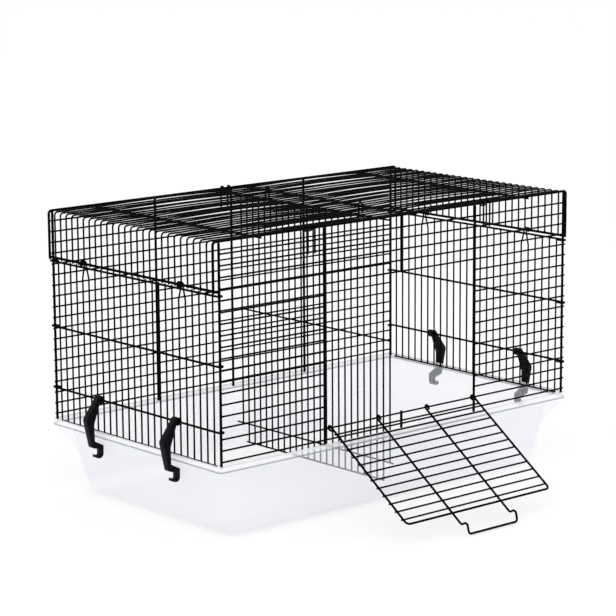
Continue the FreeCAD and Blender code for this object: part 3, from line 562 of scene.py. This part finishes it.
def legs_of(box, axis, radius):
    """Where the two outer legs of a bent wire stand along an axis."""
    return box[0][axis] + radius, box[1][axis] - radius


class CAGE_OT_coat_wires(bpy.types.Operator):
    """Gives every wire of the frame its black coat"""
    bl_idname = "cage.coat_wires"
    bl_label = "Coat the wires"

    def execute(self, context):
        coat = coat_of(context)
        for node in frame["nodes"]:
            if node != "tray" and node not in CLIPS:
                dress(node, coat)
        return {"FINISHED"}


class CAGE_OT_bead_front_and_back(bpy.types.Operator):
    """Welds and dipped ends of the front and back panels"""
    bl_idname = "cage.bead_front_and_back"
    bl_label = "Bead the front and back"

    def execute(self, context):
        for side, hinge in (("front", "front_hinge_hairpins"), ("back", "back_hinge_hairpin")):
            lumps = Lumps(context.scene.cage_wires)
            bars = solids_of(f"{side}_bars")
            posts = solids_of(f"{side}_posts")
            lumps.weld(bars, posts)
            lumps.dip(bars)
            lumps.dip(posts, ends=(1,))
            radius = radius_of(bars[0])
            for low, high in solids_of(hinge):
                # The legs stand on the outer side of the hairpin's box.
                y = low.y + radius if side == "front" else high.y - radius
                for x in legs_of((low, high), X, radius):
                    leg = Vector((x - radius, y - radius, low.z)), Vector((x + radius, y + radius, high.z))
                    lumps.weld([leg], bars)
                    lumps.tip(Vector((x, y, low.z)), Z, radius)
            lumps.finished(f"{side}_weld_beads", "cage", context)
        return {"FINISHED"}


class CAGE_OT_bead_ends(bpy.types.Operator):
    """Welds and dipped ends of the two end panels"""
    bl_idname = "cage.bead_ends"
    bl_label = "Bead the ends"

    def execute(self, context):
        for side in ("left", "right"):
            lumps = Lumps(context.scene.cage_wires)
            bars = solids_of(f"{side}_end_bars")
            foot_rail = solids_of(f"{side}_foot_rail")
            rails = sorted(solids_of(f"{side}_end_rails"), key=lambda box: box[0].z)
            radius = radius_of(bars[0])
            low_x, high_x = (corner.x for corner in bars[0])
            outer = max(low_x, high_x, key=abs)
            legs = [(Vector((low_x, y - radius, loop[0].z)), Vector((high_x, y + radius, rails[-1][0].z)))
                    for loop in solids_of(f"{side}_hinge_loops") for y in legs_of(loop, Y, radius)]
            lumps.weld(bars + legs, foot_rail)
            lumps.dip(bars, ends=(1,))
            lumps.dip(foot_rail)
            for rail in rails:
                for bar in bars + legs:
                    if bar[1].z > middle(rail).z:
                        lumps.bead(Vector((outer, middle(bar).y, middle(rail).z)), X)
            lumps.finished(f"{side}_weld_beads", "cage", context)
        return {"FINISHED"}


class CAGE_OT_bow_roof(bpy.types.Operator):
    """Lets the roof's thin wires stand up unevenly between their welds"""
    bl_idname = "cage.bow_roof"
    bl_label = "Bow the roof's wires"

    def execute(self, context):
        finish = context.scene.cage_wires
        wires = [middle(wire).y for wire in solids_of("roof_wires")]
        welds = sorted(middle(cross).x for cross in solids_of("roof_cross_wires"))
        aprons = sorted(middle(apron).x for apron in solids_of("left_apron_rail", "right_apron_rail"))
        ends = [apron + TURN_SHARE * (weld - apron) for apron, weld in zip(aprons, (welds[0], welds[-1]))]
        stops = [ends[0], *welds, ends[1]]
        chance = random.Random(BOW_SEED)
        spans = list(zip(stops, stops[1:]))
        longest = max(end - start for start, end in spans)
        bows = {}
        for wire in wires:
            most = finish.roof_bow * chance.random()
            for start, end in spans:
                bows[wire, start] = most * chance.uniform(LEAST_BOW_SHARE, 1) * (end - start) / longest
        shape = merged_copy("roof_wires")
        for start, end in spans:
            for step in range(BOW_STEPS):
                x = start + (end - start) * step / BOW_STEPS
                bmesh.ops.bisect_plane(shape, geom=[*shape.verts, *shape.edges, *shape.faces],
                                       plane_co=(x, 0, 0), plane_no=(1, 0, 0))
        for vert in shape.verts:
            wire = min(wires, key=lambda y: abs(y - vert.co.y))
            for start, end in spans:
                if start < vert.co.x < end:
                    way = (vert.co.x - start) / (end - start)
                    vert.co.z += bows[wire, start] * math.sin(math.pi * way)
        for face in shape.faces:
            face.smooth = True
        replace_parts(new_piece(shape, "bowed_roof_wires", "cage", coat_of(context)), "roof_wires")
        return {"FINISHED"}


class CAGE_OT_bead_roof(bpy.types.Operator):
    """Welds and dipped ends of the roof and its turned-down aprons"""
    bl_idname = "cage.bead_roof"
    bl_label = "Bead the roof"

    def execute(self, context):
        lumps = Lumps(context.scene.cage_wires)
        crossing = solids_of("roof_cross_wires")
        lumps.dip(crossing)
        thin = radius_of(crossing[0])
        aprons = solids_of("left_apron_rail", "right_apron_rail")
        lumps.dip(aprons)
        thick = radius_of(aprons[0])
        for radius, node in ((thin, "roof_wires"), (thick, "roof_edge_wires")):
            for wire in solids_of(node):
                y = middle(wire).y
                for cross in crossing:
                    lumps.bead(Vector((middle(cross).x, y, cross[1].z)), Z)
                for apron in aprons:
                    lumps.bead(Vector((max(apron[0].x, apron[1].x, key=abs), y, middle(apron).z)), X)
                for x in legs_of(wire, X, radius):
                    lumps.tip(Vector((x, y, wire[0].z)), Z, radius)
        lumps.finished("roof_weld_beads", "cage", context)
        return {"FINISHED"}


class CAGE_OT_bead_door(bpy.types.Operator):
    """Welds and dipped ends of the drop-down door"""
    bl_idname = "cage.bead_door"
    bl_label = "Bead the door"

    def execute(self, context):
        lumps = Lumps(context.scene.cage_wires)
        bars = sorted(solids_of("door_bars"), key=lambda box: box[0].y)
        lumps.dip(bars)
        radius = radius_of(bars[0])
        reach = middle(bars[-1]) - middle(bars[0])
        slope = math.atan2(reach.z, reach.y)
        turn = Matrix.Rotation(slope, 4, "X")
        inward = turn @ Vector((0, 0, radius))
        # The frame lies on the bars' inner side and the handle's wire on their outer side.
        for node, side in (("door_frame", 1), ("door_handle", -1)):
            for x in legs_of(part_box(node), X, context.scene.cage_wires.door_wire / 2):
                for bar in bars:
                    place = middle(bar) + side * inward
                    place.x = x
                    lumps.bead(place, Z, turn)
        lumps.finished("door_weld_beads", "door", context)
        return {"FINISHED"}


class CAGE_OT_bead_divider(bpy.types.Operator):
    """Welds and dipped ends of the divider"""
    bl_idname = "cage.bead_divider"
    bl_label = "Bead the divider"

    def execute(self, context):
        lumps = Lumps(context.scene.cage_wires)
        bars = solids_of("divider_bars")
        rails = sorted(solids_of("divider_rails"), key=lambda box: box[1].y)
        lumps.weld(bars, rails)
        lumps.dip(bars)
        # The longest rail fits between the tray's walls, so its ends stay bare.
        lumps.dip(rails[:-1])
        lumps.finished("divider_weld_beads", "divider", context)
        return {"FINISHED"}


class CAGE_OT_clear_tray(bpy.types.Operator):
    """Gives the tray its clear plastic"""
    bl_idname = "cage.clear_tray"
    bl_label = "Clear the tray"

    def execute(self, context):
        dress("tray", tray_plastic(context.scene.cage_tray))
        return {"FINISHED"}


class CAGE_OT_round_clips(bpy.types.Operator):
    """Makes the four clips with rounded moulded edges"""
    bl_idname = "cage.round_clips"
    bl_label = "Round the clips"

    def execute(self, context):
        finish = context.scene.cage_clips
        plastic = clip_plastic(finish)
        for clip in CLIPS:
            shape = merged_copy(clip)
            bmesh.ops.dissolve_limit(shape, angle_limit=FLAT_ANGLE, verts=shape.verts, edges=shape.edges)
            sharp = [edge for edge in shape.edges
                     if len(edge.link_faces) == 2 and edge.calc_face_angle() > CORNER_ANGLE]
            bmesh.ops.bevel(shape, geom=sharp, offset=finish.edge_round, offset_type="OFFSET",
                            segments=ROUND_SEGMENTS, profile=0.5, affect="EDGES", material=-1,
                            clamp_overlap=True)
            for face in shape.faces:
                face.smooth = True
            piece = new_piece(shape, f"{clip}_moulding", clip, plastic)
            piece.data.set_sharp_from_angle(angle=CREASE_ANGLE)
            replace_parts(piece, clip)
        return {"FINISHED"}


def seen_directly(tree):
    """1 for rays that show the floor itself or its image in gloss and clear plastic, else 0."""
    path = tree.nodes.new("ShaderNodeLightPath").outputs
    mirrored = reckon(tree, "MAXIMUM", path["Is Glossy Ray"], path["Is Transmission Ray"])
    return reckon(tree, "MAXIMUM", path["Is Camera Ray"], mirrored)


def floor_finish(studio):
    """Pale floor that shows as white with a soft shadow."""
    material, tree, shader = new_material("studio_floor")
    shader.inputs["Base Color"].default_value = (*studio.floor_colour, 1)
    shader.inputs["Roughness"].default_value = 1
    shader.inputs["Specular IOR Level"].default_value = 0
    white = tree.nodes.new("ShaderNodeEmission")
    mix = tree.nodes.new("ShaderNodeMixShader")
    share = reckon(tree, "MULTIPLY", seen_directly(tree), 1 - studio.shade_share)
    tree.links.new(share, mix.inputs["Fac"])
    tree.links.new(shader.outputs["BSDF"], mix.inputs[1])
    tree.links.new(white.outputs["Emission"], mix.inputs[2])
    tree.links.new(mix.outputs["Shader"], tree.nodes["Material Output"].inputs["Surface"])
    return material


class CAGE_OT_build_stage(bpy.types.Operator):
    """Makes the floor, the light and the camera"""
    bl_idname = "cage.build_stage"
    bl_label = "Build the studio"

    def execute(self, context):
        studio = context.scene.cage_studio
        context.scene.view_settings.view_transform = "Standard"
        self.build_floor(context, studio)
        self.light_world(context, studio)
        target = (CAD_BOX[0] + CAD_BOX[1]) / 2
        for name, power, place in (("main_light", studio.key_power, studio.key_place),
                                   ("second_light", studio.fill_power, studio.fill_place)):
            self.add_lamp(context, name, power, Vector(place), target)
        self.add_camera(context, studio)
        return {"FINISHED"}

    def build_floor(self, context, studio):
        """A wide level floor just under the tray."""
        shape = bmesh.new()
        bmesh.ops.create_grid(shape, x_segments=1, y_segments=1, size=studio.floor_span / 2,
                              matrix=Matrix.Translation((0, 0, CAD_BOX[0].z - studio.floor_drop)))
        mesh = bpy.data.meshes.new("studio_floor")
        shape.to_mesh(mesh)
        shape.free()
        mesh.materials.append(floor_finish(studio))
        floor = bpy.data.objects.new("studio_floor", mesh)
        context.scene.collection.objects.link(floor)

    def light_world(self, context, studio):
        """Even white light from all round."""
        world = bpy.data.worlds.new("studio_world")
        world.use_nodes = True
        context.scene.world = world
        background = world.node_tree.nodes["Background"]
        background.inputs["Color"].default_value = (1, 1, 1, 1)
        background.inputs["Strength"].default_value = studio.sky

    def add_lamp(self, context, name, power, place, target):
        """A large soft lamp that faces the cage."""
        lamp = bpy.data.lights.new(name, "AREA")
        lamp.shape = "DISK"
        lamp.size = context.scene.cage_studio.lamp_size
        lamp.energy = power
        thing = bpy.data.objects.new(name, lamp)
        thing.location = place
        thing.rotation_euler = (target - place).to_track_quat("-Z", "Y").to_euler()
        context.scene.collection.objects.link(thing)

    def add_camera(self, context, studio):
        """The camera, at the cage's front left and a little above it."""
        data = bpy.data.cameras.new("camera")
        data.sensor_width = SENSOR_WIDTH
        data.lens = studio.lens
        camera = bpy.data.objects.new("camera", data)
        level = math.cos(studio.elevation)
        back = Vector((math.sin(studio.azimuth) * level, -math.cos(studio.azimuth) * level,
                       math.sin(studio.elevation)))
        facing = (-back).to_track_quat("-Z", "Y").to_matrix() @ Matrix.Rotation(studio.roll, 3, "Z")
        camera.matrix_world = Matrix.LocRotScale(Vector(studio.place), facing, None)
        context.scene.collection.objects.link(camera)
        context.scene.camera = camera


OPERATORS = (
    CAGE_OT_build_stage,
    CAGE_OT_coat_wires,
    CAGE_OT_bead_front_and_back,
    CAGE_OT_bead_ends,
    CAGE_OT_bow_roof,
    CAGE_OT_bead_roof,
    CAGE_OT_bead_door,
    CAGE_OT_bead_divider,
    CAGE_OT_clear_tray,
    CAGE_OT_round_clips,
)


class CAGE_PT_cage(bpy.types.Panel):
    """Sizes, colours and steps of the cage"""
    bl_idname = "CAGE_PT_cage"
    bl_label = "Rodent cage"
    bl_space_type = "VIEW_3D"
    bl_region_type = "UI"
    bl_category = "Cage"

    def draw(self, context):
        for operator in OPERATORS:
            self.layout.operator(operator.bl_idname)
        for name in SETTINGS:
            group = getattr(context.scene, name)
            for setting in group.__annotations__:
                self.layout.prop(group, setting)


SETTINGS = {
    "cage_wires": WireFinish,
    "cage_tray": TrayFinish,
    "cage_clips": ClipFinish,
    "cage_studio": Studio,
}
CLASSES = (*SETTINGS.values(), *OPERATORS, CAGE_PT_cage)


def register():
    """Adds the classes and the scene's settings."""
    for cls in CLASSES:
        bpy.utils.register_class(cls)
    for name, group in SETTINGS.items():
        setattr(bpy.types.Scene, name, PointerProperty(type=group))


def unregister():
    """Takes them out again."""
    for name in SETTINGS:
        delattr(bpy.types.Scene, name)
    for cls in reversed(CLASSES):
        bpy.utils.unregister_class(cls)


def main():
    """Builds the stage and the cage."""
    register()
    bpy.ops.cage.build_stage()
    bpy.ops.cage.coat_wires()
    bpy.ops.cage.bead_front_and_back()
    bpy.ops.cage.bead_ends()
    bpy.ops.cage.bow_roof()
    bpy.ops.cage.bead_roof()
    bpy.ops.cage.bead_door()
    bpy.ops.cage.bead_divider()
    bpy.ops.cage.clear_tray()
    bpy.ops.cage.round_clips()


if __name__ == "__main__":
    main()
